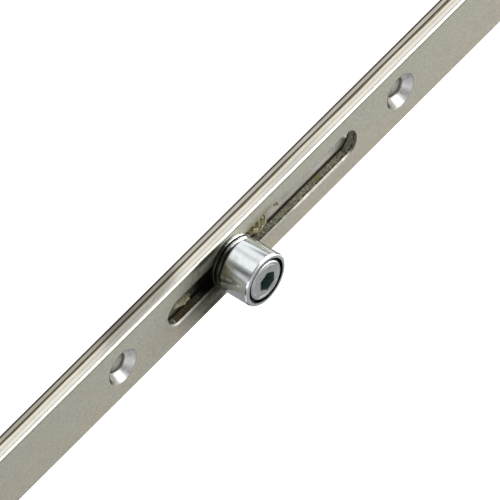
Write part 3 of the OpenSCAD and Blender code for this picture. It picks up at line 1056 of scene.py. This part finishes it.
floorSettings = {
    "halfSize": 3000.0,
    "tone": 0.80,
    "glow": 0.92,                         # to the camera
    "centre": (9.6, -0.5),                # mirrors see bright and dim stretches of floor round the roller
    "reach": (32.0, 44.0),                # how far out these stretches fade into the pale floor
    "besideStrip": (-17.2, -16.2),        # Y of the band along the strip's side that is pale again
    "underStrip": (7.5, 8.5),             # and the floor under the strip is pale too
    "dimmer": 0.6,                        # the band's share that is taken back beside the roller
    "dimmerX": (8.0, 12.0, 28.0, 33.0),   # from the centre
    "mirrorLevels": (                     # turns about the centre, from -X by way of -Y, and the level there
        (0.00, 0.15), (0.06, 0.16), (0.104, 0.26), (0.142, 0.92), (0.183, 0.96), (0.214, 0.70), (0.25, 0.98),
        (0.279, 1.00), (0.313, 1.00), (0.341, 0.40), (0.372, 0.10), (0.41, 0.46), (0.435, 0.12), (0.47, 0.06),
        (0.52, 0.16), (0.61, 0.30), (0.80, 0.31), (1.00, 0.15),
    ),
}


def floorLevel(place, s):
    # turn = atan2(y, x) about the centre as a share of a full turn, 0 at -X
    frameX, frameY, z = split(place)
    x, y = frameX - s["centre"][0], frameY - s["centre"][1]
    turn = calc("ARCTAN2", y, x) * (0.5 / math.pi) + 0.5
    pale = rising(frameY, *s["besideStrip"]) * calc("LESS_THAN", y, 0.0)
    pale = pale * (1.0 - between(x, *s["dimmerX"]) * s["dimmer"])
    pale = larger(pale, rising(lengthOf(x, y), *s["reach"]))
    pale = larger(pale, falling(abs(frameY), *s["underStrip"]))
    return mixColour(pale, greyRamp(turn, s["mirrorLevels"]), (1.0, 1.0, 1.0), "LIGHTEN")


def makeFloor(s):
    material = bpy.data.materials.new("paleFloor")
    tree = emptyTree(material)
    diffuse = output(tree, "ShaderNodeBsdfDiffuse", None, {"Color": (s["tone"], s["tone"], s["tone"], 1)})
    rays = addNode(tree, "ShaderNodeLightPath").outputs
    seen = larger(Value(rays["Is Camera Ray"]), Value(rays["Is Transmission Ray"])) * s["glow"]
    glow = output(tree, "ShaderNodeEmission", None, {"Color": (1, 1, 1, 1), "Strength": seen})
    direct = output(tree, "ShaderNodeAddShader", None, {0: diffuse, 1: glow})
    level = floorLevel(placeInTree(tree), s)
    mirrored = output(tree, "ShaderNodeEmission", None, {"Color": level, "Strength": 1.0})
    toMirrors = Value(rays["Is Glossy Ray"])
    lit = output(tree, "ShaderNodeMixShader", None, {0: toMirrors, 1: direct, 2: mirrored})
    clear = output(tree, "ShaderNodeBsdfTransparent")
    below = output(tree, "ShaderNodeNewGeometry", which="Backfacing")
    both = output(tree, "ShaderNodeMixShader", None, {0: below, 1: lit, 2: clear})
    addNode(tree, "ShaderNodeOutputMaterial", None, {"Surface": both})
    edge = s["halfSize"] * mm
    corners = [(-edge, -edge, 0), (edge, -edge, 0), (edge, edge, 0), (-edge, edge, 0)]
    mesh = bpy.data.meshes.new("floor")
    mesh.from_pydata(corners, [], [(0, 1, 2, 3)])
    mesh.materials.append(material)
    floor = addObject("floor", mesh)


makeFloor(floorSettings)


# Light: a pale studio round the part, one large soft lamp towards -X and weaker ones round it

lightSettings = {
    "farLevel": 0.04,                     # the studio behind the part, towards +Y
    "nearLevel": 0.28,                    # the studio in front of it, towards -Y
    "tint": (1.0, 0.995, 0.985, 1),
    "fade": (-0.6, 0.3),                  # Y of the direction where one level passes into the other
    "distance": 2400.0,
    "lamps": {                            # direction, way of the long side, width and length, radiance
        "keyLamp": ((-0.800, -0.112, 0.590), (0.0, 0.0, 1.0), (1320.0, 1800.0), 7.5),
        "backLamp": ((0.466, 0.776, 0.425), (0.0, 0.0, 1.0), (1000.0, 1000.0), 0.75),
        "fillLamp": ((0.780, -0.050, 0.620), (0.0, 0.0, 1.0), (1300.0, 1500.0), 2.0),
        "edgeLamp": ((-0.42, -0.35, 0.837), (0.0, 0.92, 0.38), (600.0, 2280.0), 2.8),
    },
}


def makeStudio(s):
    world = bpy.data.worlds.new("studio")
    bpy.context.scene.world = world
    tree = emptyTree(world)
    x, y, z = split(output(tree, "ShaderNodeTexCoord", which="Generated"))
    toCamera = output(tree, "ShaderNodeLightPath", which="Is Camera Ray")
    level = larger(mapRange(y, *s["fade"], s["nearLevel"], s["farLevel"]), toCamera)
    sky = output(tree, "ShaderNodeBackground", None, {"Color": s["tint"], "Strength": level})
    addNode(tree, "ShaderNodeOutputWorld", None, {"Surface": sky})


def makeLamps(s):
    for name, (direction, longSide, size, radiance) in s["lamps"].items():
        data = bpy.data.lights.new(name, "AREA")
        data.shape = "RECTANGLE"
        data.size, data.size_y = (side * mm for side in size)
        data.energy = radiance * math.pi * data.size * data.size_y
        addObject(name, data).matrix_world = lookingBack(direction, longSide, s["distance"])


makeStudio(lightSettings)
makeLamps(lightSettings)
bpy.context.scene.view_settings.view_transform = "Standard"
print("floor and light ready")
